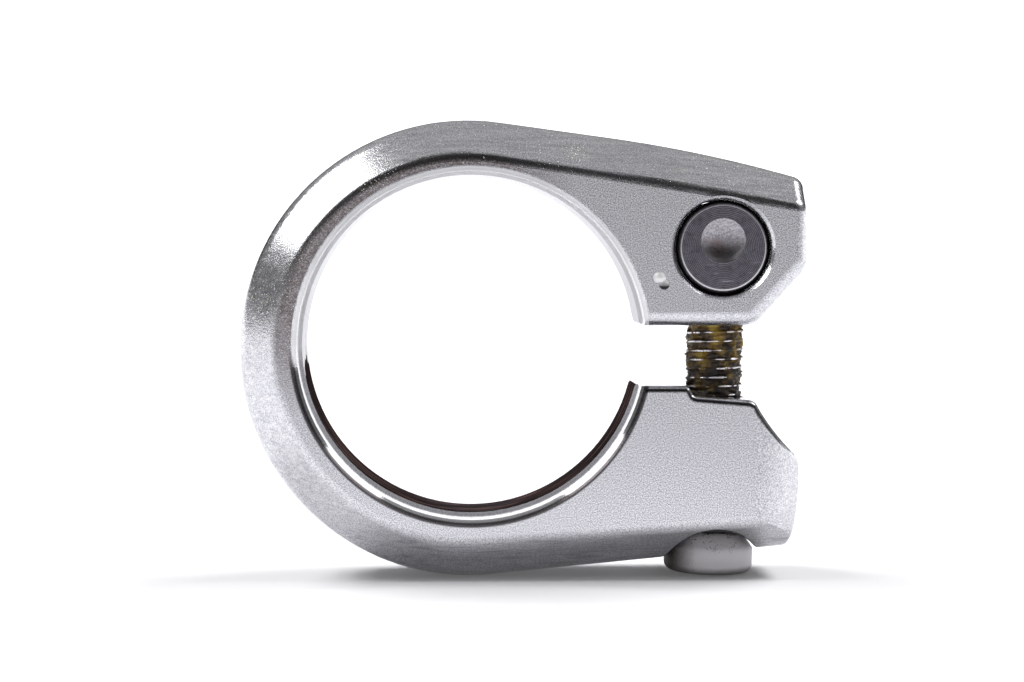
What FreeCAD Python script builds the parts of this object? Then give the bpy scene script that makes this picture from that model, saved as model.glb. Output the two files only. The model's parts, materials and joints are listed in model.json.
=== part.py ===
"""Seatpost clamp for a 29.8 mm seat tube: a split collar, its barrel nut and its clamp bolt.

Millimetres. The origin is on the bore's axis, half way along the collar. The bore runs along Y, the front
face looks towards -Y, Z points up, and the two ears point towards +X with the slot between them.
"""

import FreeCAD
import Part
import math
import os

V = FreeCAD.Vector
BORE_AXIS = V(0, 1, 0)

# Collar: bore
bore_r = 14.9
relief_step = 0.2  # the front of the bore is this much larger in radius
relief_depth = 4.1
bore_chamfer = 0.45
collar_length = 11.0  # along the bore

# Collar: outline of the ring and of the two arms that leave it
ring_wall = 5.05
ring_shift_x = -0.3  # the outside isn't quite concentric with the bore
ring_shift_z = -0.36
bevel_width = 3.25  # the broad bevel round the outside, seen from the front
bevel_depth = 2.45
bevel_round = 1.5  # rounding of both of the bevel's edges
top_slope = 7.8  # degrees that the upper arm falls away from the ring
top_face_slope = 8.6  # the same, of the upper edge of the flat face
crown_start = 12.0  # from here on the upper arm's back is gently curved
crown_r = 120.0
face_crown_r = 3000.0
under_slope = 5.5  # degrees that the lower arm's underside rises
under_face_slope = 4.0

# Collar: ears and slot
upper_ear_wall = 3.17  # beyond the barrel nut's hole
upper_ear_corner = 6.8  # height where the upper ear's end turns in towards the slot
slot_top = 1.7
slot_mouth_past_nut = 2.77  # the slot's upper face ends this far beyond the nut's centre
slot_bottom = -3.5
shelf_before_nut = 2.93  # the lower ear's face drops to a shelf round the bolt
shelf_past_nut = 2.82
shelf_drop = 0.85
shelf_fall = 0.45  # further fall of the shelf to its outer end
lower_ear_inset = 0.35  # the lower ear ends this far inside the upper one
lower_ear_corner = -9.9
lower_ear_bow = 0.75  # the lower ear's end bulges by this much
lower_ear_lean = 2.15  # and lies this much further in at its foot
lower_ear_nose = 5.3  # large rounding of that end, seen from above
flank_hollow = 0.35  # the slanted flank above that end is slightly hollow
corner_round = 1.8
shelf_round = 0.5
edge_round = 0.6  # rounding of the ears' edges, front, back and along the slot
ear_end_round = 1.2  # softer rounding round the upper ear's end
tip_round = 0.4  # rounding of the slot's edges at the bore

# Barrel nut
nut_r = 4.1
nut_fit = 0.1  # radial clearance in the ear
nut_x = 21.73
nut_z = 8.46
nut_end_gap = 0.15  # the nut's ends lie this much inside the collar's faces
nut_chamfer = 0.38
nut_hole_chamfer = 0.3
dimple_r = 1.95
dimple_depth = 0.55
dimple_rise = 0.6  # the dimple isn't quite on the nut's axis

# Clamp bolt, M5 x 0.8
thread_shift = 0.2  # the bolt crosses the nut a little outside its middle
bolt_lean = 1.65  # degrees, head towards the ring, while the clamp is open
thread_r = 2.45
thread_fit = 0.05  # radial clearance in the nut
bolt_hole_r = 3.0
hole_shift = -0.2  # from the bolt's axis to that of its hole and pocket
run_out = 2.2  # depth of the bolt's passage above the nut
bolt_reach = 2.6  # end of the bolt above the nut's centre
bolt_point = 0.6  # chamfer on the bolt's end
pocket_r = 5.05
pocket_drop = 24.75  # from the nut's centre down to the floor of the head's pocket
head_gap = 0.45
head_r = 3.93
head_height = 3.55
head_dome = 1.4  # height of the domed underside
head_dome_flat = 2.6  # which starts at this radius
head_edge = 0.75  # rounding of the head's outer edge
socket_across = 4.0
socket_depth = 2.4

cut_past = 1.0  # cutting tools run past the faces by this much
blank_past = 6.0  # and the arms of the uncut blank past the ears

half = collar_length / 2
relief_r = bore_r + relief_step
ring_r = bore_r + ring_wall
ring_centre = V(ring_shift_x, 0, ring_shift_z)
ear_reach = nut_x + nut_r + nut_fit + upper_ear_wall
lower_ear_reach = ear_reach - lower_ear_inset
blank_reach = ear_reach + blank_past
blank_side = ring_r * 1.6
step_y = -half + relief_depth
nut_centre = V(nut_x, 0, nut_z)
bolt_centre = nut_centre + V(thread_shift, 0, 0)
passage_centre = bolt_centre + V(hole_shift, 0, 0)
lean = math.radians(bolt_lean)
bolt_down = V(-math.sin(lean), 0, -math.cos(lean))


def on_bolt(distance):
    """Point on the bolt's axis, a distance below the middle of the barrel nut."""
    return bolt_centre + bolt_down * distance


def face_from(edges):
    return Part.Face(Part.Wire(edges))


def arc(start, middle, end):
    return Part.Arc(start, middle, end).toShape()


def line(start, end):
    return Part.LineSegment(start, end).toShape()


def bowed(start, end, bow):
    """Arc from start to end whose middle stands off the chord, to the left of the way it runs."""
    way = end - start
    side = V(-way.z, 0, way.x).normalize()
    return arc(start, (start + end) * 0.5 + side * bow, end)


def softened(corners):
    """Closed face through (point, radius) corners, each one rounded to its radius, or left sharp at 0."""
    ends = []
    for i, (corner, radius) in enumerate(corners):
        back = (corners[i - 1][0] - corner).normalize()
        ahead = (corners[(i + 1) % len(corners)][0] - corner).normalize()
        half_angle = back.getAngle(ahead) / 2
        tangent = radius / math.tan(half_angle)
        depth = radius / math.sin(half_angle) - radius
        middle = corner + (back + ahead).normalize() * depth
        ends.append((corner + back * tangent, middle, corner + ahead * tangent, radius))
    edges = []
    for i, (start, middle, end, radius) in enumerate(ends):
        edges.append(line(ends[i - 1][2], start))
        if radius:
            edges.append(arc(start, middle, end))
    return face_from(edges)


def section(foot, outward, reach, face_reach):
    """Slice across the outline, from a foot inside out to the band, with the bevel's edges rounded."""
    band_y = half - bevel_depth
    return softened([
        (foot + V(0, -half, 0), 0),
        (foot + outward * face_reach + V(0, -half, 0), bevel_round),
        (foot + outward * reach + V(0, -band_y, 0), bevel_round),
        (foot + outward * reach + V(0, band_y, 0), bevel_round),
        (foot + outward * face_reach + V(0, half, 0), bevel_round),
        (foot + V(0, half, 0), 0),
    ])


def crown_height(x, from_height, slope, crown):
    """Height at x of the arc that leaves crown_start at a height and a slope and curves down."""
    centre_x = crown_start - crown * math.sin(slope)
    centre_height = from_height - crown * math.cos(slope)
    return centre_height + math.sqrt(crown ** 2 - (x - centre_x) ** 2)


def rounded(shape, radius, wanted):
    """The shape with each edge rounded for which wanted(edge) holds."""
    return shape.makeFillet(radius, [edge for edge in shape.Edges if wanted(edge)])


def ends_at(edge, test):
    return all(test(vertex.Point) for vertex in edge.Vertexes)


def is_near(a, b):
    """True where two points lie at the same place seen along the bore."""
    return math.hypot(a.x - b.x, a.z - b.z) < 0.001


def runs_along_bore(edge):
    return is_near(edge.Vertexes[0].Point, edge.Vertexes[-1].Point) and edge.Length > collar_length / 2


def lies_on(edge, skin):
    first, last = edge.ParameterRange
    points = [edge.valueAt(t) for t in (first, (first + last) / 2, last)]
    return all(Part.Vertex(point).distToShape(skin)[0] < 0.001 for point in points)


def forged_blank():
    """Bevelled body before its ears, slot and bore are cut: a turned ring with an arm along its top and
    another along its underside, which run on past the ears."""
    top = math.radians(top_slope)
    under = math.radians(under_slope)
    face_r = ring_r - bevel_width
    top_way = V(math.sin(top), 0, math.cos(top))
    under_way = V(math.sin(under), 0, -math.cos(under))
    top_touch = section(ring_centre, top_way, ring_r, face_r)
    under_touch = section(ring_centre, under_way, ring_r, face_r)
    ring = top_touch.revolve(ring_centre, BORE_AXIS, -180 - top_slope - under_slope)

    def height_at(x, way, radius, slope):
        """Height over the ring's centre at x of a line that leaves the ring at a slope."""
        touch = way * radius
        return abs(touch.z) - (x - ring_shift_x - touch.x) * math.tan(math.radians(slope))

    def top_section(x):
        lines = ((ring_r, top_slope, crown_r), (face_r, top_face_slope, face_crown_r))
        reach, face_reach = [
            crown_height(x, height_at(crown_start, top_way, radius, slope), math.radians(slope), crown)
            for radius, slope, crown in lines
        ]
        return section(V(x, 0, ring_shift_z), V(0, 0, 1), reach, face_reach)

    under_reach = height_at(blank_reach, under_way, ring_r, under_slope)
    under_face_reach = height_at(blank_reach, under_way, face_r, under_face_slope)
    under_end = section(V(blank_reach, 0, ring_shift_z), V(0, 0, -1), under_reach, under_face_reach)

    def loft(*faces, straight):
        """Solid through the sections, whose flat sides are true planes, so that they join up."""
        solid = Part.makeLoft([face.OuterWire for face in faces], True, straight)
        planes = [side.findPlane() for side in solid.Faces]
        sides = [
            Part.Face(plane, side.OuterWire) if plane else side
            for side, plane in zip(solid.Faces, planes)
        ]
        return Part.Solid(Part.Shell(sides))

    crown_middle = (crown_start + blank_reach) / 2
    crown_sections = [top_section(x) for x in (crown_start, crown_middle, blank_reach)]
    arms = [
        loft(top_touch, crown_sections[0], straight=True),
        loft(*crown_sections, straight=False),
        loft(under_touch, under_end, straight=True),
    ]
    return ring.fuse(arms).removeSplitter()


def side_profile():
    """What the ears' ends and the slot leave, as a prism along the bore, with its corners rounded."""
    y = -half - cut_past
    top_left = V(-blank_side, y, blank_side)
    top_right = V(ear_reach, y, blank_side)
    upper_corner = V(ear_reach, y, upper_ear_corner)
    slot_mouth = V(nut_x + slot_mouth_past_nut, y, slot_top)
    slot_in = V(0, y, slot_top)
    slot_low = V(0, y, slot_bottom)
    step_top = V(nut_x - shelf_before_nut, y, slot_bottom)
    step_foot = step_top + V(shelf_drop / 2, 0, -shelf_drop)
    shelf_out = V(nut_x + shelf_past_nut, y, step_foot.z - shelf_fall)
    lower_corner = V(lower_ear_reach, y, lower_ear_corner)
    toe = V(lower_ear_reach - lower_ear_lean, y, ring_shift_z - ring_r)
    below_toe = V(toe.x, y, -blank_side)
    bottom_left = V(-blank_side, y, -blank_side)
    profile = face_from([
        line(top_left, top_right),
        line(top_right, upper_corner),
        line(upper_corner, slot_mouth),
        line(slot_mouth, slot_in),
        line(slot_in, slot_low),
        line(slot_low, step_top),
        line(step_top, step_foot),
        line(step_foot, shelf_out),
        bowed(shelf_out, lower_corner, -flank_hollow),
        bowed(lower_corner, toe, lower_ear_bow),
        line(toe, below_toe),
        line(below_toe, bottom_left),
        line(bottom_left, top_left),
    ])
    prism = profile.extrude(V(0, collar_length + 2 * cut_past, 0))

    def at(*corners):
        return lambda edge: any(ends_at(edge, lambda p: is_near(p, corner)) for corner in corners)

    prism = rounded(prism, corner_round, at(upper_corner, slot_mouth, lower_corner))
    prism = rounded(prism, corner_round / 2, at(shelf_out))
    return rounded(prism, shelf_round, at(step_top, step_foot))


def nose_cutter(side):
    """Corner piece that leaves the lower ear's end round, seen from above."""
    tip = lower_ear_reach + lower_ear_bow
    centre = V(tip - lower_ear_nose, side * (half - lower_ear_nose), slot_bottom)
    share = lower_ear_nose * math.sqrt(0.5)
    on_face = centre + V(0, side * lower_ear_nose, 0)
    on_end = centre + V(lower_ear_nose, 0, 0)
    past_face = on_face + V(0, side * cut_past, 0)
    past_end = on_end + V(cut_past, 0, 0)
    corner = face_from([
        line(past_face, V(past_end.x, past_face.y, slot_bottom)),
        line(V(past_end.x, past_face.y, slot_bottom), past_end),
        line(past_end, on_end),
        arc(on_end, centre + V(share, side * share, 0), on_face),
        line(on_face, past_face),
    ])
    return corner.extrude(V(0, 0, -ring_r * 2))


def turned(points, centre, axis_turn):
    """Solid turned from (radius, height) points, its axis swung from +Z by axis_turn and set at centre.

    A third number in a point is the bow of the stretch that ends there, which is straight without it.
    """
    at = [V(r, 0, h) for r, h, *_ in points]
    bows = [bow[0] if bow else 0 for _, _, *bow in points]
    edges = []
    for i, end in enumerate(at):
        start = at[i - 1]
        edges.append(bowed(start, end, bows[i]) if bows[i] else line(start, end))
    solid = face_from(edges).revolve(V(0, 0, 0), V(0, 0, 1), 360)
    solid.Placement = FreeCAD.Placement(centre, axis_turn)
    return solid


ALONG_BORE = FreeCAD.Rotation(V(0, 0, 1), BORE_AXIS)
DOWN_BOLT = FreeCAD.Rotation(V(0, 0, 1), bolt_down)


def bore_cutter():
    """Bore with its wider front, a chamfer at each mouth and a clean run out past both faces."""
    past = half + cut_past
    front_mouth = relief_r + bore_chamfer
    rear_mouth = bore_r + bore_chamfer
    return turned([
        (0, -past),
        (front_mouth, -past),
        (front_mouth, -half),
        (relief_r, -half + bore_chamfer),
        (relief_r, step_y),
        (bore_r, step_y),
        (bore_r, half - bore_chamfer),
        (rear_mouth, half),
        (rear_mouth, past),
        (0, past),
    ], V(0, 0, 0), ALONG_BORE)


def nut_hole_cutter():
    hole_r = nut_r + nut_fit
    mouth = hole_r + nut_hole_chamfer
    past = half + cut_past
    return turned([
        (0, -past),
        (mouth, -past),
        (mouth, -half),
        (hole_r, -half + nut_hole_chamfer),
        (hole_r, half - nut_hole_chamfer),
        (mouth, half),
        (mouth, past),
        (0, past),
    ], nut_centre, ALONG_BORE)


def bolt_passage_cutter():
    """Stepped hole beside the bolt: blind above the nut, open below in the pocket for the head."""
    top = nut_r + run_out
    return turned([
        (0, -top),
        (bolt_hole_r, -top),
        (bolt_hole_r, pocket_drop),
        (pocket_r, pocket_drop),
        (pocket_r, pocket_drop + ring_r),
        (0, pocket_drop + ring_r),
    ], passage_centre, DOWN_BOLT)


def clamp_collar():
    profile = side_profile()
    skin = Part.Compound(profile.Faces)
    body = forged_blank().common(profile).cut([nose_cutter(-1), nose_cutter(1)])

    def is_cut(edge):
        return lies_on(edge, skin) and not runs_along_bore(edge)

    def at_upper_end(edge):
        above = (slot_top + upper_ear_corner) / 2
        return is_cut(edge) and ends_at(edge, lambda p: p.z > above and p.x > nut_x)

    body = rounded(body, ear_end_round, at_upper_end)
    body = rounded(body, edge_round, lambda edge: is_cut(edge) and not at_upper_end(edge))
    plain_bore = Part.makeCylinder(bore_r, collar_length + 2 * cut_past, V(0, -half - cut_past, 0), BORE_AXIS)
    body = body.cut(plain_bore)

    def slot_tip(edge):
        on_bore = ends_at(edge, lambda p: abs(math.hypot(p.x, p.z) - bore_r) < 0.001 and p.x > 0)
        return on_bore and runs_along_bore(edge)

    body = rounded(body, tip_round, slot_tip)
    return body.cut([bore_cutter(), nut_hole_cutter(), bolt_passage_cutter()]).Solids[0]


def dimple(side):
    """Ball that leaves a round dimple in the nut's end."""
    ball_r = (dimple_r ** 2 + dimple_depth ** 2) / (2 * dimple_depth)
    end = half - nut_end_gap
    centre = V(nut_x, side * (end + ball_r - dimple_depth), nut_z + dimple_rise)
    return Part.makeSphere(ball_r, centre)


def barrel_nut():
    end = half - nut_end_gap
    body = turned([
        (0, -end),
        (nut_r - nut_chamfer, -end),
        (nut_r, -end + nut_chamfer),
        (nut_r, end - nut_chamfer),
        (nut_r - nut_chamfer, end),
        (0, end),
    ], nut_centre, ALONG_BORE)
    above_nut = nut_r + cut_past
    thread_hole = Part.makeCylinder(thread_r + thread_fit, above_nut * 2, on_bolt(-above_nut), bolt_down)
    return body.cut([thread_hole, dimple(-1), dimple(1)])


def clamp_bolt():
    head_top = pocket_drop + head_gap
    head_end = head_top + head_height
    rim = V(head_r, 0, head_dome)
    flat_rim = V(head_dome_flat, 0, 0)
    dome_centre = (rim.Length ** 2 - flat_rim.Length ** 2) / (2 * head_dome)
    dome_r = math.hypot(head_dome_flat, dome_centre)
    dome_bow = dome_r - math.sqrt(dome_r ** 2 - (rim - flat_rim).Length ** 2 / 4)
    edge_bow = head_edge * (1 - math.sqrt(0.5))
    body = turned([
        (0, -bolt_reach),
        (thread_r - bolt_point, -bolt_reach),
        (thread_r, -bolt_reach + bolt_point),
        (thread_r, head_top),
        (head_dome_flat, head_top),
        (head_r, head_top + head_dome, -dome_bow),
        (head_r, head_end - head_edge),
        (head_r - head_edge, head_end, -edge_bow),
        (0, head_end),
    ], bolt_centre, DOWN_BOLT)
    corner_r = socket_across / math.sqrt(3)
    corners = [V(math.cos(a), math.sin(a), 0) * corner_r for a in (math.radians(60 * i) for i in range(7))]
    socket = Part.Face(Part.makePolygon(corners)).extrude(V(0, 0, socket_depth + cut_past))
    socket.Placement = FreeCAD.Placement(on_bolt(head_end - socket_depth), DOWN_BOLT)
    return body.cut(socket)


parts = {
    "clamp_collar": clamp_collar(),
    "barrel_nut": barrel_nut(),
    "clamp_bolt": clamp_bolt(),
}

os.makedirs("parts", exist_ok=True)
for name, shape in parts.items():
    print(f"{name}: valid {shape.isValid()}, solids {len(shape.Solids)}, {shape.Volume:.1f} mm3")
    shape.exportStep(f"parts/{name}.step")
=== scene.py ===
# Seatpost clamp: finish of the forged collar, the turned barrel nut and the threaded bolt, and a pale studio
# round them. Lengths in the dictionaries are millimetres and are turned to metres where they are used.
import json
import math

import bmesh
import bpy
from mathutils import Euler, Matrix, Vector


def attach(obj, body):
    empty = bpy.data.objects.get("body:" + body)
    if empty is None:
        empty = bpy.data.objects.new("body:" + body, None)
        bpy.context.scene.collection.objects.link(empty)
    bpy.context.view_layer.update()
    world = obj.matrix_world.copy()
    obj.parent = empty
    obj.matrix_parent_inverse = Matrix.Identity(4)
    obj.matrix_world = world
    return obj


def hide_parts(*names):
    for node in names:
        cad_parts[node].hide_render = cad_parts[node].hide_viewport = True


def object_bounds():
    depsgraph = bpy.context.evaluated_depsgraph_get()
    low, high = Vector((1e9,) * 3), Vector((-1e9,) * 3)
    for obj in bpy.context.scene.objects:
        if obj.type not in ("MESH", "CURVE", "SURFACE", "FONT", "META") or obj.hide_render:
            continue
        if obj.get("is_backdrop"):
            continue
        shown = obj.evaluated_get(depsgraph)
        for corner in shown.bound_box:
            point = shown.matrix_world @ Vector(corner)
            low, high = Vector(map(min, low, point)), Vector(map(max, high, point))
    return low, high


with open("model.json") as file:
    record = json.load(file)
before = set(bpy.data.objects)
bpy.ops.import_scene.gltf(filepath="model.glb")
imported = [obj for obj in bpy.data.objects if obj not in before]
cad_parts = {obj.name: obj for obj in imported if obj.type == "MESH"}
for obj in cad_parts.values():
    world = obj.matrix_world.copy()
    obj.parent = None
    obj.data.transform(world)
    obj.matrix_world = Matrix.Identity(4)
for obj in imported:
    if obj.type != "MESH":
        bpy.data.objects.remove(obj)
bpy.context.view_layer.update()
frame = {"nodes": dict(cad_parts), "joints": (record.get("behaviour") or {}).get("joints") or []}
mm = 0.001
joints = {joint["name"]: joint for joint in frame["joints"]}
nutCentre = Vector(joints["nut_swivel"]["pos_m"])
boltCentre = Vector(joints["bolt_turn"]["pos_m"])
boltUp = Vector(joints["bolt_turn"]["axis"]).normalized()
print("frame loaded:", ", ".join(sorted(frame["nodes"])))


# Helpers for colours, nodes and meshes
def linear(hexColour):
    parts = [int(hexColour[i:i + 2], 16) / 255 for i in (1, 3, 5)]
    return [p / 12.92 if p <= 0.04045 else ((p + 0.055) / 1.055) ** 2.4 for p in parts] + [1.0]


def metres(lengths):
    return [length * mm for length in lengths]


def feed(tree, node, inputs):
    # sets or links the node's inputs by name or number
    for key, value in inputs.items():
        if isinstance(value, bpy.types.NodeSocket):
            tree.links.new(value, node.inputs[key])
        else:
            node.inputs[key].default_value = value


def addNode(tree, kind, inputs=None, **settings):
    node = tree.nodes.new(kind)
    for name, value in settings.items():
        setattr(node, name, value)
    feed(tree, node, inputs or {})
    return node


def setStops(rampNode, stops):
    # stops is a list of (position, colour); a colour is a grey level or a hex string
    elements = rampNode.color_ramp.elements
    while len(elements) < len(stops):
        elements.new(0.5)
    for element, (position, colour) in zip(elements, stops):
        element.position = position
        element.color = linear(colour) if isinstance(colour, str) else (colour, colour, colour, 1)


def math2(tree, operation, first, second=0.0, clamp=False):
    inputs = {0: first, 1: second}
    return addNode(tree, "ShaderNodeMath", inputs, operation=operation, use_clamp=clamp).outputs[0]


def plus(tree, first, second):
    return math2(tree, "ADD", first, second)


def minus(tree, first, second):
    return math2(tree, "SUBTRACT", first, second)


def times(tree, product, *others):
    for other in others:
        product = math2(tree, "MULTIPLY", product, other)
    return product


def ramp(tree, value, low, high, start=0.0, end=1.0):
    # start at low and end at high, and no further; low may be the larger of the two
    return addNode(tree, "ShaderNodeMapRange", {0: value, 1: low, 2: high, 3: start, 4: end}).outputs[0]


def band(tree, value, centre, core, edge):
    # 1 within core of the centre, falling to 0 at edge
    return ramp(tree, math2(tree, "ABSOLUTE", minus(tree, value, centre)), core, edge, 1.0, 0.0)


def mixValue(tree, share, first, second):
    return addNode(tree, "ShaderNodeMix", {0: share, 2: first, 3: second}, data_type="FLOAT").outputs[0]


def mixColour(tree, share, first, second):
    # a colour is a socket or a hex string
    first, second = [linear(colour) if isinstance(colour, str) else colour for colour in (first, second)]
    return addNode(tree, "ShaderNodeMix", {0: share, 6: first, 7: second}, data_type="RGBA").outputs[2]


def tinted(tree, colour, share, tone):
    # tone is a hex string and how much of it shows where share is 1
    return mixColour(tree, times(tree, share, tone[1]), colour, tone[0])


def noise(tree, place, size, detail=2.0):
    inputs = {"Vector": place, "Scale": 1 / (size * mm), "Detail": detail}
    return addNode(tree, "ShaderNodeTexNoise", inputs).outputs[0]


def mapped(tree, place, location=(0, 0, 0), rotation=(0, 0, 0), scale=(1, 1, 1)):
    return addNode(tree, "ShaderNodeMapping", {0: place, "Location": location, "Rotation": rotation,
                                               "Scale": scale}).outputs[0]


def axesOf(tree, vector):
    return addNode(tree, "ShaderNodeSeparateXYZ", {0: vector}).outputs


def radiusOf(tree, axes):
    across, up = [math2(tree, "POWER", axes[name], 2.0) for name in ("X", "Z")]
    return math2(tree, "SQRT", plus(tree, across, up))


def wave(tree, value, spacing):
    return math2(tree, "SINE", times(tree, value, 2 * math.pi / (spacing * mm)))


def bumpOf(tree, height, depth):
    inputs = {"Strength": 1.0, "Distance": depth * mm, "Height": height}
    return addNode(tree, "ShaderNodeBump", inputs).outputs[0]


def newMaterial(name):
    material = bpy.data.materials.new(name)
    material.use_nodes = True
    tree = material.node_tree
    tree.nodes.clear()
    shader = addNode(tree, "ShaderNodeBsdfPrincipled")
    addNode(tree, "ShaderNodeOutputMaterial", {"Surface": shader.outputs["BSDF"]})
    return material, tree, shader, addNode(tree, "ShaderNodeTexCoord").outputs["Object"]


def setMaterial(mesh, material):
    mesh.materials.clear()
    mesh.materials.append(material)


def smoothed(mesh):
    for face in mesh.polygons:
        face.use_smooth = True
    return mesh


def meshFrom(work, name):
    # puts the bmesh into a new mesh and frees it
    mesh = bpy.data.meshes.new(name)
    work.to_mesh(mesh)
    work.free()
    return mesh


def newPiece(name, mesh, body, material):
    piece = bpy.data.objects.new(name, mesh)
    bpy.context.scene.collection.objects.link(piece)
    setMaterial(mesh, material)
    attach(piece, body)
    return piece


# Camera, at the photograph's place: just left of the bore's axis and a little above it
cameraSet = {
    "place": (-1.30, -174.80, 6.63),
    "turnRight": 1.61,
    "lookDown": 2.10,
    "lens": 69.18,
    "sensor": 36,
    "clipStart": 10,
}
cameraData = bpy.data.cameras.new("camera")
cameraData.sensor_width = cameraSet["sensor"]
cameraData.lens = cameraSet["lens"]
cameraData.clip_start = cameraSet["clipStart"] * mm
camera = bpy.data.objects.new("camera", cameraData)
camera.location = Vector(cameraSet["place"]) * mm
camera.rotation_euler = Euler((math.radians(90 - cameraSet["lookDown"]), 0,
                               -math.radians(cameraSet["turnRight"])))
bpy.context.scene.collection.objects.link(camera)
bpy.context.scene.camera = camera
bpy.context.scene.view_settings.view_transform = "Standard"

# Studio: a white table that curves up to a low rim, a grey room above it and soft lamps
studioSet = {
    "floorBelow": 0.05,  # under the lowest point of the clamp
    "rings": [0, 60, 150, 300, 500, 700, 800, 860, 890, 900],  # radii of the table's rings of faces
    "spokes": 96,
    "rimFrom": 700,  # radius where the table begins to curve up
    "rimBack": 200,  # height of the rim behind the clamp; it falls to nothing in front
    # share of white that the table has of its own, near the clamp and far beside or behind it
    "nearGlow": 0.085,
    "farGlow": 0.8,
    "glowRise": (350, 800),
    "white": "#c6c6c8",  # shows as pure white under the strong light, and keeps a deep shadow
    "front": "#b2b2b5",  # the table is greyer out in front, where only the metal sees it
    "frontFall": (-48, -76),
}


def makeTable():
    work = bmesh.new()
    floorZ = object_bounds()[0].z - studioSet["floorBelow"] * mm
    spokes, rimWidth = studioSet["spokes"], studioSet["rings"][-1] - studioSet["rimFrom"]
    rows = []
    for ring in studioSet["rings"]:
        row = []
        for i in range(spokes):
            angle = 2 * math.pi * i / spokes
            rim = studioSet["rimBack"] * (0.5 + 0.5 * math.sin(angle))
            along = max(0.0, (ring - studioSet["rimFrom"]) / rimWidth)
            lift = rim * (1 - math.sqrt(max(0.0, 1 - along ** 2)))
            flatPlace = (ring * mm * math.cos(angle), ring * mm * math.sin(angle))
            row.append(work.verts.new((*flatPlace, floorZ + lift * mm)))
            if ring == 0:
                break
        rows.append(row)
    for inner, outer in zip(rows, rows[1:]):
        for i in range(spokes):
            j = (i + 1) % spokes
            inmost = [inner[0]] if len(inner) == 1 else [inner[j], inner[i]]
            work.faces.new([outer[i], outer[j]] + inmost)
    table = bpy.data.objects.new("table", smoothed(meshFrom(work, "table")))
    bpy.context.scene.collection.objects.link(table)
    table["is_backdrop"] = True
    return table


# Matt white laminate: it stays white in the picture and in the metal, and keeps the clamp's shadow
tableWhite = bpy.data.materials.new("mattWhiteLaminate")
tableWhite.use_nodes = True
tree = tableWhite.node_tree
tree.nodes.clear()
lightPath = addNode(tree, "ShaderNodeLightPath").outputs
seen = math2(tree, "MAXIMUM", lightPath["Is Camera Ray"], lightPath["Is Glossy Ray"])
seen = math2(tree, "MAXIMUM", seen, lightPath["Is Transmission Ray"])
spot = axesOf(tree, addNode(tree, "ShaderNodeTexCoord").outputs["Object"])
farOff = math2(tree, "MAXIMUM", math2(tree, "ABSOLUTE", spot["X"]), spot["Y"])
glowShare = ramp(tree, farOff, *metres(studioSet["glowRise"]), studioSet["nearGlow"], studioSet["farGlow"])
glow = addNode(tree, "ShaderNodeEmission", {"Strength": times(tree, seen, glowShare)})
inFront = ramp(tree, spot["Y"], *metres(studioSet["frontFall"]))
tone = mixColour(tree, inFront, studioSet["white"], studioSet["front"])
matt = addNode(tree, "ShaderNodeBsdfDiffuse", {"Color": tone})
both = addNode(tree, "ShaderNodeAddShader", {0: matt.outputs[0], 1: glow.outputs[0]})
addNode(tree, "ShaderNodeOutputMaterial", {"Surface": both.outputs[0]})
makeTable().data.materials.append(tableWhite)

# The room: white up to the rim's height, grey above with a paler ceiling, and dark before and behind the
# clamp, with a lighter band low in front. Heights are the upward share of a direction, from -1 to 1.
roomSet = {
    # grey levels from straight down, at 0, to straight up, at 1
    "levels": [(0.0, 1.0), (0.515, 1.0), (0.53, 0.24), (0.7, 0.24), (0.9, 0.5), (1.0, 0.5)],
    "dark": 0.035,
    "front": 0.55,
    "ends": (0.38, 0.6),  # how far a direction turns to front or back where the dark begins and is full
    "turn": (-0.3, 0.3),  # the dark's lower line goes from frontLine to backLine over this turn
    "frontLine": -0.03,
    "backLine": 0.19,
    "soft": 0.03,
    "backTop": (0.3, 0.45),  # the dark behind ends at this height
    "frontTop": (0.17, 0.28),  # and the lighter band in front at this one
}
world = bpy.data.worlds.new("room")
bpy.context.scene.world = world
world.use_nodes = True
tree = world.node_tree
tree.nodes.clear()
way = axesOf(tree, addNode(tree, "ShaderNodeTexCoord").outputs["Generated"])
grey = addNode(tree, "ShaderNodeValToRGB", {0: ramp(tree, way["Z"], -1.0, 1.0)})
setStops(grey, roomSet["levels"])
endsFrom, endsTo = roomSet["ends"]
ends = addNode(tree, "ShaderNodeMapRange",
               {0: math2(tree, "ABSOLUTE", way["Y"]), 1: endsFrom, 2: endsTo, 3: 0.0, 4: 1.0},
               interpolation_type="SMOOTHSTEP").outputs[0]
line = ramp(tree, way["Y"], *roomSet["turn"], roomSet["frontLine"], roomSet["backLine"])
above = ramp(tree, minus(tree, way["Z"], line), 0.0, roomSet["soft"])
topped = mixValue(tree, math2(tree, "GREATER_THAN", way["Y"], 0.0), 1.0,
                  ramp(tree, way["Z"], *roomSet["backTop"], 1.0, 0.0))
darkPart = times(tree, ends, above, topped)
lowFront = times(tree, ramp(tree, way["Z"], *roomSet["frontTop"], 1.0, 0.0),
                 math2(tree, "LESS_THAN", way["Y"], 0.0))
darkTone, frontTone = [(roomSet[name],) * 3 + (1,) for name in ("dark", "front")]
air = mixColour(tree, darkPart, grey.outputs["Color"], mixColour(tree, lowFront, darkTone, frontTone))
background = addNode(tree, "ShaderNodeBackground", {"Color": air})
addNode(tree, "ShaderNodeOutputWorld", {"Surface": background.outputs[0]})

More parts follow.
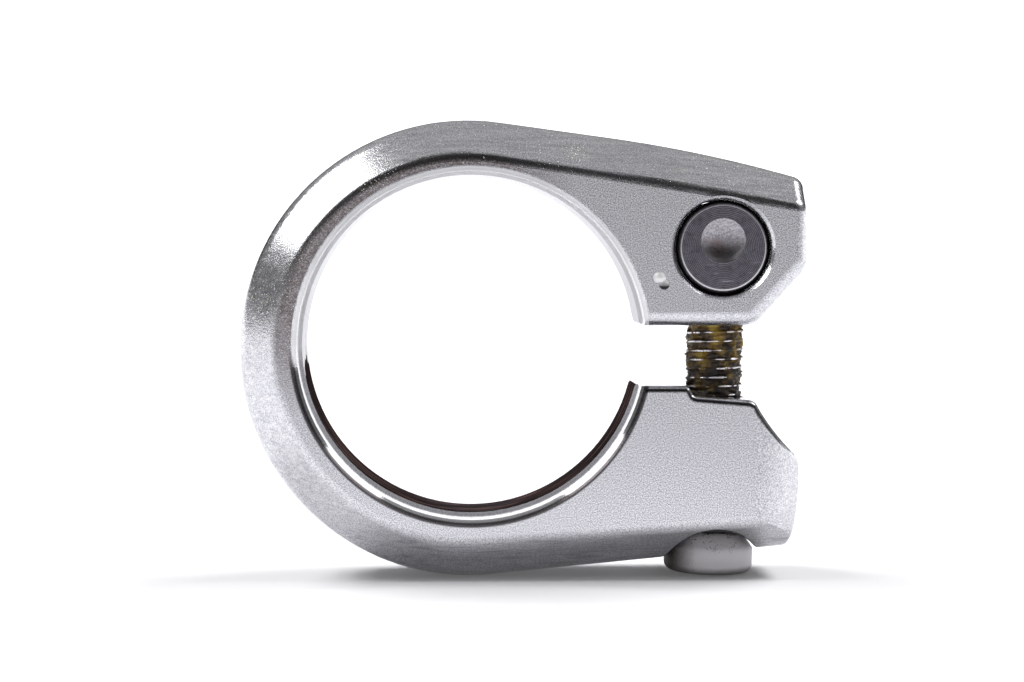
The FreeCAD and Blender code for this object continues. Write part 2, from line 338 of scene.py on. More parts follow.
# The two small boxes make the highlights on the metal and leave the table to the other two, which are wide
# and light it from both sides, so that the shadow is dark only right under the clamp. Level is the brightness
# of a lamp's face, where 1 is white, and spares names the kind of light that the lamp leaves alone.
lampSet = [
    {"name": "softBoxLeft", "way": (-0.68, -0.28, 0.68), "far": 700, "size": (330, 330), "level": 5.0,
     "spares": "visible_diffuse"},
    {"name": "softBoxRight", "way": (0.70, 0.0, 0.71), "far": 700, "size": (300, 300), "level": 3.0,
     "spares": "visible_diffuse"},
    {"name": "tableLightLeft", "way": (-0.55, 0.2, 0.8), "far": 900, "size": (600, 340), "level": 17.0,
     "spares": "visible_glossy"},
    {"name": "tableLightRight", "way": (0.5, 0.2, 0.83), "far": 900, "size": (600, 340), "level": 15.5,
     "spares": "visible_glossy"},
]
for lampData in lampSet:
    data = bpy.data.lights.new(lampData["name"], "AREA")
    data.shape = "RECTANGLE"
    data.size, data.size_y = metres(lampData["size"])
    data.energy = lampData["level"] * math.pi * data.size * data.size_y
    lamp = bpy.data.objects.new(lampData["name"], data)
    lamp.location = Vector(lampData["way"]).normalized() * lampData["far"] * mm
    lamp.rotation_euler = (-lamp.location).to_track_quat("-Z", "Y").to_euler()
    bpy.context.scene.collection.objects.link(lamp)
    setattr(lamp, lampData["spares"], False)
print("camera, table, room and lamps made")

# Forged aluminium, bead blasted and silver anodised: satin faces with a fine cast grain that breaks up the
# reflections, smoother bevels with faint streaks along them, and a bore turned after forging, with fine lines
# round it, painted light on the upper half of its wide front and painted shade, a dark film, low in its main
# part
collarSet = {
    "metal": "#e3e3e7",
    "metalDull": "#c3c3c9",
    "flat": (0.86, 0.985),  # how squarely bevels and flat faces look along the bore
    "roughness": (0.17, 0.23),  # on bevels and on faces
    "roughPatch": 0.28,
    # relief: sizes of the grain on the faces, its pebbles and the fine grain over both, and how much they count
    "reliefDepth": 0.009,
    "grain": 0.12,
    "pebble": 0.2,
    "fineGrain": 0.09,
    "pebblesOnFace": 0.35,
    "pebblesOnBevel": 0.5,
    "streaksOnBevel": 0.5,
    "boreCalm": 0.85,
    # dull patches, painted glints and dark hollows: size, range of the noise that shows, tone and its share
    "patch": 0.1,
    "patchRange": (0.35, 0.65),
    "paintedGlintSize": 0.09,
    "paintedGlintRange": (0.64, 0.7),
    "paintedGlint": ("#fdfdfd", 0.8),
    "hollowRange": (0.34, 0.6),
    "hollowShare": 0.32,
    "hollow": "#3c3c40",
    # streaks along the bevels, with painted shade in them on the low one
    "streak": 0.35,
    "streakStretch": 0.05,
    "streakRange": (0.5, 0.68),
    "streakBelow": (-14.0, -16.0),
    "streakPaintedShade": ("#77757b", 0.5),
    # the narrow land round the bore, with painted shade along the ring's upper left that makes it a little
    # browner
    "landPaintedShade": "#857b7c",
    "landR": 16.1,
    "landWidth": (0.7, 1.5),
    "landAcross": (9.0, 2.0),
    "landUp": (-6.0, 2.0),
    "landBlotch": 0.16,
    # the bore's finish lies within boreReach, and its main part within mainBore behind the step
    "boreReach": 15.45,
    "mainBore": 15.0,
    "mainFrom": -1.38,
    "lower": (-0.2, -2.0),  # heights between which the finish of the lower half comes in
    "turning": 0.9,  # spacing of the turned lines
    "turned": ("#6f6a6e", 0.45),
    "boreRoughness": 0.09,
    # painted light on the upper half of the bore's wide front
    "paintedLightSatin": ("#f2f2f4", 0.7),
    "satinDull": 0.65,  # how much less metallic it is
    "tintFront": "#f6f6f6",  # tints of the mirror at a low angle: wide front, main part and turned lines
    "tintMain": "#c4c4c8",
    "tintLines": "#7d7a7e",
    # the painted shade low in the main part, a dark film
    "paintedShadeTop": (-0.4, -1.6),
    "paintedShadeWander": 7.0,
    "paintedShadeEdgeNoise": 1.6,
    "wearAndPaintedShade": [(0.35, "#1c1818"), (0.55, "#2e2526"), (0.68, "#5a4744")],
    "paintedShadeTonePatch": 0.8,
    "paintedShadeToneStretch": 0.12,
    # painted shade: the dark line round the bore's mouth
    "mouthPaintedShade": ("#2a2223", 0.9),
    "mouthR": 15.52,
    "mouthWidth": (0.14, 0.28),
    "mouthBefore": -4.9,
    # painted shade on the lower ear's rounded edge towards the slot, where it turns away from the front and
    # upwards
    "earPaintedShade": ("#3b383b", 0.8),
    "earAway": -0.86,
    "earSpread": (0.09, 0.13),
    "earUpturn": (0.06, 0.13),
    "earAcross": (14.0, 15.5),
    "earBelow": (-2.6, -3.2),
    # painted shade inside the pocket for the bolt's head
    "pocketPaintedShade": ("#2b292b", 0.9),
    "pocketR": (5.16, 5.08),
    "pocketBelow": (-12.0, -13.0),
}
collarMetal, tree, shader, place = newMaterial("forgedAluminiumSilverAnodised")
spot = axesOf(tree, place)
x, y, z = spot
facing = axesOf(tree, addNode(tree, "ShaderNodeTexCoord").outputs["Normal"])
flat = ramp(tree, math2(tree, "ABSOLUTE", facing["Y"]), *collarSet["flat"])
onBevel = minus(tree, 1.0, flat)
boreR = radiusOf(tree, spot)
inBore = math2(tree, "LESS_THAN", boreR, collarSet["boreReach"] * mm)
inMain = times(tree, math2(tree, "LESS_THAN", boreR, collarSet["mainBore"] * mm),
               math2(tree, "GREATER_THAN", y, collarSet["mainFrom"] * mm))
lower = ramp(tree, z, *metres(collarSet["lower"]))
lines = ramp(tree, wave(tree, y, collarSet["turning"]), 0.8, 1.0)
stretched = mapped(tree, place, scale=(collarSet["streakStretch"], 1.0, 1.0))
streaks = noise(tree, stretched, collarSet["streak"], 3.0)
patchy = mixValue(tree, times(tree, onBevel, 0.7), noise(tree, place, collarSet["patch"], 1.0), streaks)

# relief: pebbled grain on the faces, streaks and pebbles on the bevels, fine grain over both, and little of
# it in the bore
pebbles = addNode(tree, "ShaderNodeTexVoronoi", {"Vector": place, "Scale": 1 / (collarSet["pebble"] * mm)})
pebbles = pebbles.outputs["Distance"]
relief = minus(tree, noise(tree, place, collarSet["grain"], 1.5),
               times(tree, pebbles, collarSet["pebblesOnFace"]))
relief = times(tree, relief, plus(tree, times(tree, flat, 0.85), 0.15))
relief = plus(tree, relief, times(tree, noise(tree, place, collarSet["fineGrain"], 1.0),
                                  minus(tree, 1.1, times(tree, flat, 0.7))))
relief = plus(tree, relief, times(tree, onBevel, times(tree, streaks, collarSet["streaksOnBevel"])))
relief = plus(tree, relief, times(tree, onBevel, times(tree, pebbles, collarSet["pebblesOnBevel"])))
relief = times(tree, relief, minus(tree, 1.0, times(tree, inBore, collarSet["boreCalm"])))

# colour of the bare metal, with painted glints on the bevels and dark hollows everywhere but in the bore
colour = mixColour(tree, ramp(tree, patchy, *collarSet["patchRange"]),
                   collarSet["metalDull"], collarSet["metal"])
# painted glints: white flecks of painted highlight on the bevels
paintedGlints = ramp(tree, noise(tree, place, collarSet["paintedGlintSize"], 0.5), *collarSet["paintedGlintRange"])
colour = tinted(tree, colour, times(tree, paintedGlints, onBevel), collarSet["paintedGlint"])
speckle = ramp(tree, noise(tree, place, collarSet["patch"], 1.0), *collarSet["hollowRange"])
speckle = plus(tree, 1 - collarSet["hollowShare"], times(tree, speckle, collarSet["hollowShare"]))
speckle = math2(tree, "MAXIMUM", speckle, inBore)
colour = mixColour(tree, minus(tree, 1.0, speckle), colour, collarSet["hollow"])
# painted shade on the land round the bore, along the ring's upper left
land = times(tree, band(tree, boreR, collarSet["landR"] * mm, *metres(collarSet["landWidth"])),
             ramp(tree, x, *metres(collarSet["landAcross"])), ramp(tree, z, *metres(collarSet["landUp"])))
blotches = ramp(tree, noise(tree, place, collarSet["landBlotch"], 2.0), 0.4, 0.6)
land = times(tree, land, plus(tree, 0.5, times(tree, blotches, 0.5)))
colour = mixColour(tree, times(tree, land, flat), colour, collarSet["landPaintedShade"])
colour = tinted(tree, colour, times(tree, lines, inBore), collarSet["turned"])

# the painted shade's upper edge wanders
wander = minus(tree, noise(tree, place, collarSet["paintedShadeEdgeNoise"], 3.0), 0.5)
wander = times(tree, wander, collarSet["paintedShadeWander"] * mm)
# painted shade over the lower half of the main bore
paintedShadeFilm = times(tree, inMain, ramp(tree, plus(tree, z, wander), *metres(collarSet["paintedShadeTop"])))
drawnOut = mapped(tree, place, scale=(collarSet["paintedShadeToneStretch"], 1.0, collarSet["paintedShadeToneStretch"]))
wearAndPaintedShade = addNode(tree, "ShaderNodeValToRGB", {0: noise(tree, drawnOut, collarSet["paintedShadeTonePatch"], 3.0)})
setStops(wearAndPaintedShade, collarSet["wearAndPaintedShade"])
colour = mixColour(tree, paintedShadeFilm, colour, wearAndPaintedShade.outputs["Color"])

# painted shade on edges, in the pocket and in the streaks of the low bevel
# painted shade along the bore's mouth, in its lower half
mouth = times(tree, band(tree, boreR, collarSet["mouthR"] * mm, *metres(collarSet["mouthWidth"])),
              math2(tree, "LESS_THAN", y, collarSet["mouthBefore"] * mm))
colour = tinted(tree, colour, times(tree, mouth, lower), collarSet["mouthPaintedShade"])
# painted shade on the lower ear's rounded edge
earEdge = times(tree, band(tree, facing["Y"], collarSet["earAway"], *collarSet["earSpread"]),
                ramp(tree, x, *metres(collarSet["earAcross"])),
                ramp(tree, facing["Z"], *collarSet["earUpturn"]),
                ramp(tree, z, *metres(collarSet["earBelow"])))
colour = tinted(tree, colour, earEdge, collarSet["earPaintedShade"])
# painted shade inside the pocket for the bolt's head
aside = addNode(tree, "ShaderNodeVectorMath", {0: mapped(tree, place, -nutCentre), 1: boltUp},
                operation="CROSS_PRODUCT").outputs[0]
aside = addNode(tree, "ShaderNodeVectorMath", {0: aside}, operation="LENGTH").outputs["Value"]
inPocket = times(tree, ramp(tree, aside, *metres(collarSet["pocketR"])),
                 ramp(tree, z, *metres(collarSet["pocketBelow"])))
colour = tinted(tree, colour, inPocket, collarSet["pocketPaintedShade"])
# painted shade in the streaks of the low bevel
lowStreakShade = times(tree, ramp(tree, streaks, *collarSet["streakRange"]),
                   ramp(tree, z, *metres(collarSet["streakBelow"])), onBevel)
colour = tinted(tree, colour, lowStreakShade, collarSet["streakPaintedShade"])

# the upper half of the bore's wide front is satin with painted light: its colour is painted lighter, and it is
# less metallic so that it takes the table's light
paintedLightSatin = math2(tree, "MULTIPLY", minus(tree, inBore, inMain), minus(tree, 1.0, lower), clamp=True)
colour = tinted(tree, colour, paintedLightSatin, collarSet["paintedLightSatin"])
roughness = plus(tree, ramp(tree, flat, 0.0, 1.0, *collarSet["roughness"]),
                 times(tree, minus(tree, patchy, 0.5), onBevel, collarSet["roughPatch"]))
edgeTint = mixColour(tree, inMain, collarSet["tintFront"], collarSet["tintMain"])
edgeTint = mixColour(tree, lines, edgeTint, collarSet["tintLines"])
# the painted shade is no metal, and takes away the mirror that bare metal makes at a low angle
feed(tree, shader, {
    "Base Color": colour,
    "Metallic": times(tree, minus(tree, 1.0, paintedShadeFilm),
                      minus(tree, 1.0, times(tree, paintedLightSatin, collarSet["satinDull"]))),
    "Roughness": mixValue(tree, inBore, roughness, collarSet["boreRoughness"]),
    "Specular IOR Level": minus(tree, 0.5, times(tree, paintedShadeFilm, 0.5)),
    "Specular Tint": mixColour(tree, inBore, "#ffffff", edgeTint),
    "Normal": bumpOf(tree, relief, collarSet["reliefDepth"])})
setMaterial(frame["nodes"]["clamp_collar"].data, collarMetal)

# Blackened steel, turned: dark end with rings of tool marks and a few scratches, painted shade on its chamfer
# and a painted highlight round it, and a dimple that is lighter and mottled, with painted shade and a blush of
# rust low in it
nutSet = {
    "metal": "#7e7b84",
    "dark": "#514e56",
    "feed": 0.15,  # spacing of the rings of tool marks
    "patch": 0.5,
    "mottle": 0.16,
    "reliefDepth": 0.01,
    "roughness": 0.2,
    "dimpleRoughness": 0.1,  # added in the dimple
    "scratch": ("#b3b4c2", 0.5),
    "scratchRange": (0.68, 0.74),
    "scratchSize": 0.12,
    "scratchTurn": 0.7,
    "scratchStretch": 0.08,
    "scratchBelow": (0.5, -1.5),
    # the dimple lies a little over the middle, and has two mottled tones and a third of painted shade low in it
    "dimpleUp": 0.6,
    "dimpleEdge": (2.01, 1.89),
    "dimple": "#87848a",
    "dimplePale": "#afacb1",
    "dimpleLowPaintedShade": "#8f8b90",
    "dimpleBelow": (0.9, -0.4),
    "rust": ("#6a3d36", 0.7),
    "rustPlace": (0.5, 0.6),
    "rustR": (1.0, 0.2),
    # painted shade on the chamfer round the end, which ends in a painted highlight, a bright line clearest
    # below
    "chamfer": "#39363a",
    "chamferR": 3.94,
    "chamferWidth": (0.1, 0.24),
    "rim": "#f4f2f5",
    "rimR": 3.66,
    "rimWidth": (0.03, 0.1),
    "rimBelow": (1.5, -2.5),
}
nutMetal, tree, shader, place = newMaterial("turnedBlackenedSteel")
centred = mapped(tree, place, -nutCentre)
spot = axesOf(tree, centred)
nutR = radiusOf(tree, spot)
fromDimple = mapped(tree, centred, (0, 0, -nutSet["dimpleUp"] * mm))
inDimple = ramp(tree, radiusOf(tree, axesOf(tree, fromDimple)), *metres(nutSet["dimpleEdge"]))
patches = noise(tree, place, nutSet["patch"], 3.0)
mottle = noise(tree, place, nutSet["mottle"], 2.0)
ringLevel = times(tree, wave(tree, nutR, nutSet["feed"]), patches, minus(tree, 1.0, inDimple))
relief = plus(tree, times(tree, ringLevel, 0.2),
              times(tree, mottle, plus(tree, 0.7, times(tree, inDimple, 1.6))))
colour = mixColour(tree, ramp(tree, plus(tree, times(tree, ringLevel, 0.9), patches), 0.35, 0.75),
                   nutSet["dark"], nutSet["metal"])
slanting = mapped(tree, centred, rotation=(0, nutSet["scratchTurn"], 0),
                  scale=(nutSet["scratchStretch"], 1.0, 1.0))
scratches = ramp(tree, noise(tree, slanting, nutSet["scratchSize"], 1.0), *nutSet["scratchRange"])
scratches = times(tree, scratches, ramp(tree, spot["Z"], *metres(nutSet["scratchBelow"])))
colour = tinted(tree, colour, scratches, nutSet["scratch"])
dimpleTone = mixColour(tree, ramp(tree, mottle, 0.4, 0.65), nutSet["dimple"], nutSet["dimplePale"])
# painted shade low in the dimple
lowInDimple = ramp(tree, spot["Z"], *metres(nutSet["dimpleBelow"]))
colour = mixColour(tree, inDimple, colour, mixColour(tree, lowInDimple, dimpleTone, nutSet["dimpleLowPaintedShade"]))
inChamfer = band(tree, nutR, nutSet["chamferR"] * mm, *metres(nutSet["chamferWidth"]))
colour = mixColour(tree, inChamfer, colour, nutSet["chamfer"])
# painted highlight: a bright line round the chamfer, stronger low down
rimLevel = plus(tree, 0.25, times(tree, ramp(tree, spot["Z"], *metres(nutSet["rimBelow"])), 0.7))
paintedRimHighlight = times(tree, band(tree, nutR, nutSet["rimR"] * mm, *metres(nutSet["rimWidth"])), rimLevel)
colour = mixColour(tree, paintedRimHighlight, colour, nutSet["rim"])
rustAcross, rustDown = metres(nutSet["rustPlace"])
rustR = radiusOf(tree, axesOf(tree, mapped(tree, fromDimple, (rustAcross, 0, rustDown))))
rust = times(tree, ramp(tree, rustR, *metres(nutSet["rustR"])), ramp(tree, mottle, 0.35, 0.6))
feed(tree, shader, {
    "Base Color": tinted(tree, colour, rust, nutSet["rust"]),
    "Metallic": 1.0,
    "Roughness": plus(tree, nutSet["roughness"], times(tree, inDimple, nutSet["dimpleRoughness"])),
    "Normal": bumpOf(tree, relief, nutSet["reliefDepth"])})
setMaterial(frame["nodes"]["barrel_nut"].data, nutMetal)
print("collar and nut finished")


# Helpers for geometry trees
def geometryTree(name, values):
    # an empty tree with an input for each named value, and one geometry in and out
    kinds = {int: "NodeSocketInt", float: "NodeSocketFloat", Vector: "NodeSocketVector"}
    tree = bpy.data.node_groups.new(name, "GeometryNodeTree")
    tree.interface.new_socket("Geometry", in_out="INPUT", socket_type="NodeSocketGeometry")
    for label, value in values.items():
        socket = tree.interface.new_socket(label, in_out="INPUT", socket_type=kinds[type(value)])
        socket.default_value = value
    tree.interface.new_socket("Geometry", in_out="OUTPUT", socket_type="NodeSocketGeometry")
    return tree, tree.nodes.new("NodeGroupInput").outputs


def finishTree(tree, geometry, material):
    real = addNode(tree, "GeometryNodeRealizeInstances", {"Geometry": geometry})
    coated = addNode(tree, "GeometryNodeSetMaterial", {"Geometry": real.outputs[0], "Material": material})
    addNode(tree, "NodeGroupOutput", {0: coated.outputs[0]})
    return tree


def grown(tree, values, mesh):
    # sets the tree's inputs on a passing object, and returns what it grows as a plain mesh
    holder = bpy.data.objects.new("holder", mesh)
    bpy.context.scene.collection.objects.link(holder)
    modifier = holder.modifiers.new("grown", "NODES")
    modifier.node_group = tree
    for item in tree.interface.items_tree:
        if item.in_out == "INPUT" and item.name in values:
            modifier[item.identifier] = values[item.name]
    bpy.context.view_layer.update()
    graph = bpy.context.evaluated_depsgraph_get()
    plain = bpy.data.meshes.new_from_object(holder.evaluated_get(graph), preserve_all_data_layers=True,
                                            depsgraph=graph)
    bpy.data.objects.remove(holder)
    return plain


# Zinc plated steel of the bolt: pearly grey head with small pits and painted shade low on it and down its left
# side, and a thread whose roots hold old ochre thread compound and dark dirt, with the crests worn bright
boltSet = {
    "metal": "#fbf7fb",
    "low": "#e2dee2",  # painted shade round the head's lower edge
    "lowBelow": (-17.2, -19.2),
    "edge": ("#3c3638", 0.75),  # painted shade, darker still, at the very edge
    "edgeBelow": (-19.6, -20.3),
    "headBelow": -12.0,
    "headDull": 0.75,  # how much less metallic the head is, and rougher
    "headRoughness": 0.36,
    "coverDull": 0.85,  # the same under dirt and compound
    "coverRoughness": 0.2,
    "roughness": 0.24,
    "pitAndPaintedShade": "#3a3024",
    "pitAbove": (-18.5, -17.2),
    "leftShadePlace": (19.9, 18.0),  # painted shade on the head's left side
    "leftShadeWander": 0.6,
    # dirt and compound in the roots, darker towards the foot of the thread
    "tones": [(0.3, "#17100b"), (0.46, "#342717"), (0.6, "#6c551d"), (0.78, "#a28a3a")],
    "tonePerMetre": 32.0,
    "toneMiddle": -1.0,
    "dirtSize": 1.1,
    "crumbSize": 0.16,
    "reliefDepth": 0.02,
    # the thread
    "crest": 2.45,
    "root": 1.98,
    "pitch": 0.8,
    "tipAbove": 2.6,  # tip over the nut's centre, and the head's top under it
    "headUnder": 25.2,
    "point": 0.6,
    "around": 96,
    "perPitch": 12,
    "seed": 3.0,
    "free": (11.5, 20.3),  # from the head's top, where the thread stands free between the ears
    "crumb": (0.05, 0.4),  # how far dried compound sticks out there
    "lumpsPerMm": 0.9,
    "tearsPerMm": 3.2,
    # the solid's plain shank, which the thread replaces
    "shankR": 2.47,
    "shankSlack": 0.02,
    "sharpAngle": 28,
    "weld": 1e-6,
}
boltMetal, tree, shader, place = newMaterial("zincPlatedSteelWithThreadCompound")
spot = axesOf(tree, place)
height = spot["Z"]
residue = addNode(tree, "ShaderNodeAttribute", attribute_name="residue").outputs["Fac"]
dirt = noise(tree, place, boltSet["dirtSize"], 3.0)
crumbs = noise(tree, place, boltSet["crumbSize"], 2.0)
toneRise = times(tree, minus(tree, height, boltSet["toneMiddle"] * mm), boltSet["tonePerMetre"])
tone = addNode(tree, "ShaderNodeValToRGB", {0: plus(tree, dirt, toneRise)})
setStops(tone, boltSet["tones"])
pitAndPaintedShade = ramp(tree, plus(tree, crumbs, times(tree, minus(tree, dirt, 0.5), 0.5)), 0.6, 0.7, 0.0, 0.85)
pitAndPaintedShade = times(tree, pitAndPaintedShade, ramp(tree, height, *metres(boltSet["pitAbove"])))
# painted shade down the head's left side, in the pits' colour
paintedShadeLeft = ramp(tree, plus(tree, spot["X"], times(tree, crumbs, boltSet["leftShadeWander"] * mm)),
              *metres(boltSet["leftShadePlace"]))
pitAndPaintedShade = math2(tree, "MAXIMUM", pitAndPaintedShade, times(tree, paintedShadeLeft, 0.93))
# painted shade round the head's lower edge, darkest at the very edge
shaded = mixColour(tree, ramp(tree, height, *metres(boltSet["lowBelow"])), boltSet["metal"], boltSet["low"])
shaded = tinted(tree, shaded, ramp(tree, height, *metres(boltSet["edgeBelow"])), boltSet["edge"])
cover = ramp(tree, plus(tree, residue, times(tree, crumbs, 0.5)), 0.45, 0.75)
onHead = math2(tree, "LESS_THAN", height, boltSet["headBelow"] * mm)
headRoughness = plus(tree, boltSet["roughness"], times(tree, onHead, boltSet["headRoughness"]))
feed(tree, shader, {
    "Base Color": mixColour(tree, cover, mixColour(tree, pitAndPaintedShade, shaded, boltSet["pitAndPaintedShade"]), tone.outputs["Color"]),
    "Metallic": times(tree, minus(tree, 1.0, times(tree, cover, boltSet["coverDull"])),
                      minus(tree, 1.0, times(tree, onHead, boltSet["headDull"]))),
    "Roughness": plus(tree, headRoughness, times(tree, cover, boltSet["coverRoughness"])),
    "Normal": bumpOf(tree, crumbs, boltSet["reliefDepth"])})


def threadTree(values):
    # wraps a grid round the bolt's axis, cuts the helical groove into it and fills it in places
    tree, given = geometryTree("threadTree", values)
    crest, root, length, rows = [given[name] for name in ("Crest", "Root", "Length", "Rows")]
    grid = addNode(tree, "GeometryNodeMeshGrid", {"Size X": 1.0, "Size Y": 1.0, "Vertices X": given["Around"],
                                                  "Vertices Y": rows})
    at = axesOf(tree, addNode(tree, "GeometryNodeInputPosition").outputs[0])
    turn = plus(tree, at["X"], 0.5)
    angle = times(tree, turn, 2 * math.pi)
    cosine, sine = math2(tree, "COSINE", angle), math2(tree, "SINE", angle)
    row = times(tree, plus(tree, at["Y"], 0.5), minus(tree, rows, 1.0))
    share = math2(tree, "DIVIDE", minus(tree, row, 1.0), minus(tree, rows, 3.0), clamp=True)
    along = times(tree, share, length)

    def onRadius(radius):
        across, deep = times(tree, cosine, radius), times(tree, sine, radius)
        return addNode(tree, "ShaderNodeCombineXYZ", {0: across, 1: deep, 2: along}).outputs[0]

    def ragged(perMm, detail):
        return addNode(tree, "ShaderNodeTexNoise", {"Vector": onRadius(crest), "W": given["Seed"],
                                                    "Scale": perMm / mm, "Detail": detail},
                       noise_dimensions="4D").outputs[0]

    phase = math2(tree, "FRACT", minus(tree, math2(tree, "DIVIDE", along, given["Pitch"]), turn))
    off = times(tree, math2(tree, "ABSOLUTE", minus(tree, phase, 0.5)), 2.0)
    rise = ramp(tree, off, 0.1, 0.7, 1.0, 0.0)
    lumps = ragged(boltSet["lumpsPerMm"], 3.0)
    tears = ragged(boltSet["tearsPerMm"], 2.0)
    fill = ramp(tree, lumps, 0.36, 0.62, 0.0, 0.85)
    tear = times(tree, ramp(tree, tears, 0.4, 0.7, 0.0, 0.45), rise)
    level = minus(tree, math2(tree, "MAXIMUM", rise, fill), tear)
    radius = plus(tree, root, times(tree, level, minus(tree, crest, root)))
    # where the thread stands free between the ears, dried compound sticks out beyond the crests in crumbs
    free = times(tree, math2(tree, "GREATER_THAN", along, given["Free from"]),
                 math2(tree, "LESS_THAN", along, given["Free to"]))
    radius = plus(tree, radius, times(tree, free, ramp(tree, tears, 0.4, 0.75, *metres(boltSet["crumb"]))))
    pointed = minus(tree, minus(tree, plus(tree, crest, length), given["Point"]), along)
    radius = math2(tree, "MINIMUM", radius, pointed)
    # the first and the last row close the ends
    inner = times(tree, math2(tree, "GREATER_THAN", row, 0.5),
                  math2(tree, "LESS_THAN", row, minus(tree, rows, 1.5)))
    wearAndPaintedShade = ramp(tree, lumps, 0.62, 0.38, 0.15, 1.0)
    held = minus(tree, plus(tree, 0.75, times(tree, fill, 0.4)),
                 times(tree, math2(tree, "POWER", rise, 4.0), wearAndPaintedShade))
    marked = addNode(tree, "GeometryNodeStoreNamedAttribute",
                     {"Geometry": grid.outputs["Mesh"], "Name": "residue", "Value": held})
    wrapped = addNode(tree, "GeometryNodeSetPosition",
                      {"Geometry": marked.outputs[0], "Position": onRadius(times(tree, radius, inner))})
    closed = addNode(tree, "GeometryNodeMergeByDistance",
                     {"Geometry": wrapped.outputs[0], "Distance": boltSet["weld"]})
    return finishTree(tree, closed.outputs[0], boltMetal)


def makeBolt():
    # the head is the solid's own, without the plain shank, and the shank is the thread
    length = boltSet["tipAbove"] + boltSet["headUnder"]
    values = {
        "Crest": boltSet["crest"] * mm, "Root": boltSet["root"] * mm, "Pitch": boltSet["pitch"] * mm,
        "Length": length * mm, "Point": boltSet["point"] * mm, "Around": boltSet["around"] + 1,
        "Rows": int(length / boltSet["pitch"] * boltSet["perPitch"]), "Seed": boltSet["seed"],
        "Free from": boltSet["free"][0] * mm, "Free to": boltSet["free"][1] * mm}
    thread = smoothed(grown(threadTree(values), values, bpy.data.meshes.new("threadBase")))
    upright = Vector((0, 0, 1)).rotation_difference(boltUp).to_matrix().to_4x4()
    toPlace = Matrix.Translation(boltCentre) @ upright
    thread.transform(toPlace @ Matrix.Translation((0, 0, -boltSet["headUnder"] * mm)))
    work = bmesh.new()
    work.from_mesh(frame["nodes"]["clamp_bolt"].data)
    bmesh.ops.remove_doubles(work, verts=work.verts, dist=boltSet["weld"])

    def onShank(vertex):
        offset = vertex.co - boltCentre
        height = offset.dot(boltUp)
        aside = (offset - boltUp * height).length
        foot = -(boltSet["headUnder"] + boltSet["shankSlack"]) * mm
        return height > foot and aside < boltSet["shankR"] * mm

    shank = [face for face in work.faces if all(onShank(vertex) for vertex in face.verts)]
    bmesh.ops.delete(work, geom=shank, context="FACES")
    bmesh.ops.holes_fill(work, edges=[edge for edge in work.edges if edge.is_boundary])
    head = smoothed(meshFrom(work, "boltHead"))
    head.set_sharp_from_angle(angle=math.radians(boltSet["sharpAngle"]))
    work = bmesh.new()
    work.from_mesh(head)
    work.from_mesh(thread)
    return meshFrom(work, "threadedBolt")


boltPiece = newPiece("threadedBolt", makeBolt(), "bolt", boltMetal)
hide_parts("clamp_bolt")
print("bolt made:", len(boltPiece.data.polygons), "faces")

# Small pip that forging left on the upper ear's face: two lobes, one under the other
pipSet = {
    "lobes": [((16.2, 5.9), (0.58, 0.46, 0.52)), ((16.6, 5.26), (0.46, 0.36, 0.44))],  # place and half axes
    "faceY": -5.45,
    "metal": "#f4f4f4",
    "lowPaintedShade": "#0f0b0c",
    "lowBelow": (5.5, 5.1),
    "metallic": 0.3,
    "roughness": 0.42,
}


def makePip():
    work = bmesh.new()
    for (across, up), size in pipSet["lobes"]:
        place = Matrix.Translation(Vector((across, pipSet["faceY"], up)) * mm) @ Matrix.Diagonal((*size, 1))
        bmesh.ops.create_icosphere(work, subdivisions=4, radius=mm, matrix=place)
    return smoothed(meshFrom(work, "forgedPip"))


# Bright blasted aluminium: it catches the left box as a white spot, and its lower lobe has painted shade
pipMetal, tree, shader, place = newMaterial("brightBlastedAluminium")
# painted shade on the lower lobe
low = ramp(tree, axesOf(tree, place)["Z"], *metres(pipSet["lowBelow"]))
feed(tree, shader, {
    "Base Color": mixColour(tree, low, pipSet["metal"], pipSet["lowPaintedShade"]),
    "Metallic": pipSet["metallic"],
    "Roughness": pipSet["roughness"]})
newPiece("forgedPip", makePip(), "collar", pipMetal)

# Dried buffing compound: matt, yellowish white specks that gather on the bevel, partly compound and partly
# painted sparkle that catches the light
specksSet = {
    "colour": "#f3eccf",
    "pale": "#ffffff",
    "patch": 0.3,
    # centre, reach and specks per square millimetre of each gathering
    "gatherings": [
        ((9.1, -4.6, 16.9), 1.4, 30.0), ((7.4, -4.4, 17.2), 3.2, 3.0), ((0.0, -4.6, 17.8), 9.0, 0.8),
        ((20.0, -4.6, 14.6), 9.0, 1.2), ((-9.0, -4.6, 15.4), 3.0, 16.0), ((-15.9, -4.6, 9.0), 3.0, 14.0),
        ((-18.2, -4.6, 3.5), 5.0, 12.0)],
    "least": 0.014,
    "most": 0.055,
    "facing": -0.3,  # the faces that bear specks look forward at least this much
    "perSquareMetre": 1e6,
    "roughness": 0.45,
}
speckMatter, tree, shader, place = newMaterial("buffingCompoundAndPaintedSparkle")
tint = ramp(tree, noise(tree, place, specksSet["patch"], 1.0), 0.4, 0.6)
feed(tree, shader, {
    "Base Color": mixColour(tree, tint, specksSet["colour"], specksSet["pale"]),
    "Roughness": specksSet["roughness"]})


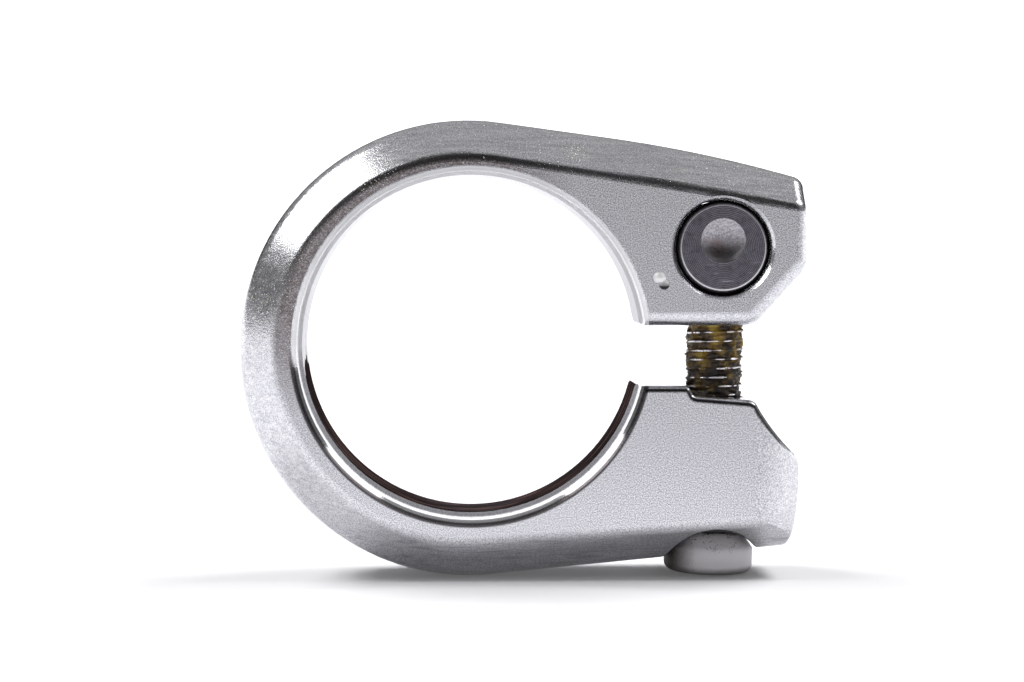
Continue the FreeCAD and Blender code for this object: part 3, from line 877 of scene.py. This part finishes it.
def specksTree(values):
    # scatters small beads on the faces that look forward, the more the nearer to the gathering's centre
    tree, given = geometryTree("specksTree", values)
    normal = axesOf(tree, addNode(tree, "GeometryNodeInputNormal").outputs[0])
    points = addNode(tree, "GeometryNodeDistributePointsOnFaces", {
        "Mesh": given["Geometry"], "Selection": math2(tree, "LESS_THAN", normal["Y"], specksSet["facing"]),
        "Density": given["Density"], "Seed": given["Seed"]})
    apart = addNode(tree, "ShaderNodeVectorMath", {0: addNode(tree, "GeometryNodeInputPosition").outputs[0],
                                                   1: given["Centre"]}, operation="DISTANCE")
    share = math2(tree, "DIVIDE", apart.outputs["Value"], given["Reach"])
    chance = addNode(tree, "FunctionNodeRandomValue", {"Seed": given["Seed"]})
    far = math2(tree, "GREATER_THAN", plus(tree, share, math2(tree, "POWER", chance.outputs[1], 2.0)), 1.0)
    kept = addNode(tree, "GeometryNodeDeleteGeometry",
                   {"Geometry": points.outputs["Points"], "Selection": far})
    bead = addNode(tree, "GeometryNodeMeshIcoSphere", {"Radius": 1.0, "Subdivisions": 1})
    size = addNode(tree, "FunctionNodeRandomValue",
                   {2: given["Least"], 3: given["Most"], "Seed": given["Seed"]})
    beads = addNode(tree, "GeometryNodeInstanceOnPoints", {
        "Points": kept.outputs[0], "Instance": bead.outputs["Mesh"], "Scale": size.outputs[1]})
    return finishTree(tree, beads.outputs[0], speckMatter)


def makeSpecks():
    gatherings = [{"Density": density * specksSet["perSquareMetre"], "Centre": Vector(centre) * mm,
                   "Reach": reach * mm, "Least": specksSet["least"] * mm, "Most": specksSet["most"] * mm,
                   "Seed": seed}
                  for seed, (centre, reach, density) in enumerate(specksSet["gatherings"], 1)]
    tree = specksTree(gatherings[0])
    work = bmesh.new()
    for values in gatherings:
        work.from_mesh(grown(tree, values, frame["nodes"]["clamp_collar"].data))
    return meshFrom(work, "bevelSpecks")


specksPiece = newPiece("bevelSpecks", makeSpecks(), "collar", speckMatter)
print("pip and specks made:", len(specksPiece.data.polygons), "faces")
